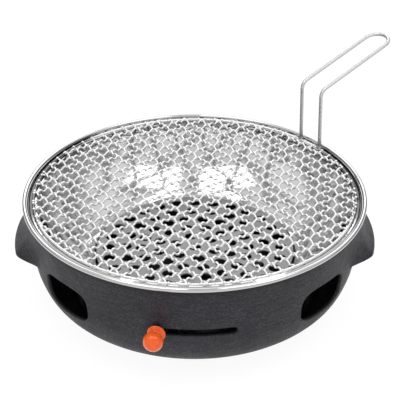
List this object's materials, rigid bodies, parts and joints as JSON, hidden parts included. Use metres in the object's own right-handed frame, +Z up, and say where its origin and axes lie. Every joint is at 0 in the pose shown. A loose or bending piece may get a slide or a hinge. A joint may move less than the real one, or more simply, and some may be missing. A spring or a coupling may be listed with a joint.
{
  "type": "tabletop charcoal grill",
  "caption": "Round tabletop charcoal grill: dark cast casing with side windows and lugs, steel bowl, perforated charcoal plate, woven wire grate with a loop handle, and an air damper knob.",
  "frame": {"origin": "on the grill's vertical axis, at the flat underside that it stands on", "axes": "+Z up along the axis of the bowl, -Y towards the front with the damper slot and knob, the two lugs along +X and -X"},
  "size_m": [0.3446, 0.3301, 0.1831],
  "materials": {
    "graphite_coating": "matt graphite-black stone-look coating on cast aluminium",
    "stainless_steel": "polished stainless sheet",
    "galvanised_sheet": "galvanised sheet steel",
    "damper_steel": "plain stainless strip and sheet",
    "charcoal_plate_steel": "matt perforated steel",
    "grate_wire": "bright plated wire",
    "chromed_wire": "bright chromed wire",
    "zinc_plated_steel": "zinc-plated steel",
    "fibre_washer": "dark fibre",
    "orange_knob": "glossy heat-resistant plastic"
  },
  "bodies": {
    "base": {"casing": "graphite_coating", "base_plate": "galvanised_sheet", "base_screw_1": "zinc_plated_steel", "base_screw_2": "zinc_plated_steel", "base_screw_3": "zinc_plated_steel", "base_screw_4": "zinc_plated_steel", "heat_shield": "galvanised_sheet", "shield_spacer_1": "zinc_plated_steel", "shield_spacer_2": "zinc_plated_steel", "shield_spacer_3": "zinc_plated_steel", "shield_spacer_4": "zinc_plated_steel", "pivot_stud": "zinc_plated_steel", "pivot_washer": "zinc_plated_steel", "pivot_nut": "zinc_plated_steel"},
    "damper": {"damper_disc": "damper_steel", "damper_arm": "damper_steel", "arm_rivet_1": "zinc_plated_steel", "arm_rivet_2": "zinc_plated_steel", "knob": "orange_knob", "knob_washer": "fibre_washer", "knob_screw": "zinc_plated_steel"},
    "fire_bowl": {"bowl": "stainless_steel"},
    "coal_tray": {"charcoal_plate": "charcoal_plate_steel"},
    "grate": {"grate_ring": "grate_wire", "grate_net": "grate_wire", "grate_handle": "chromed_wire"}
  },
  "joints": [
    {"name": "damper_turn", "type": "hinge", "parent": "base", "child": "damper", "pos_m": [0, 0, 0.018], "axis": [0, 0, 1], "range_deg": [0, 23.6]},
    {"name": "bowl_lift", "type": "slide", "parent": "base", "child": "fire_bowl", "axis": [0, 0, 1], "range_m": [0, 0.16]},
    {"name": "plate_lift", "type": "slide", "parent": "fire_bowl", "child": "coal_tray", "axis": [0, 0, 1], "range_m": [0, 0.12]},
    {"name": "grate_lift", "type": "slide", "parent": "coal_tray", "child": "grate", "axis": [0, 0, 1], "range_m": [0, 0.12]}
  ]
}
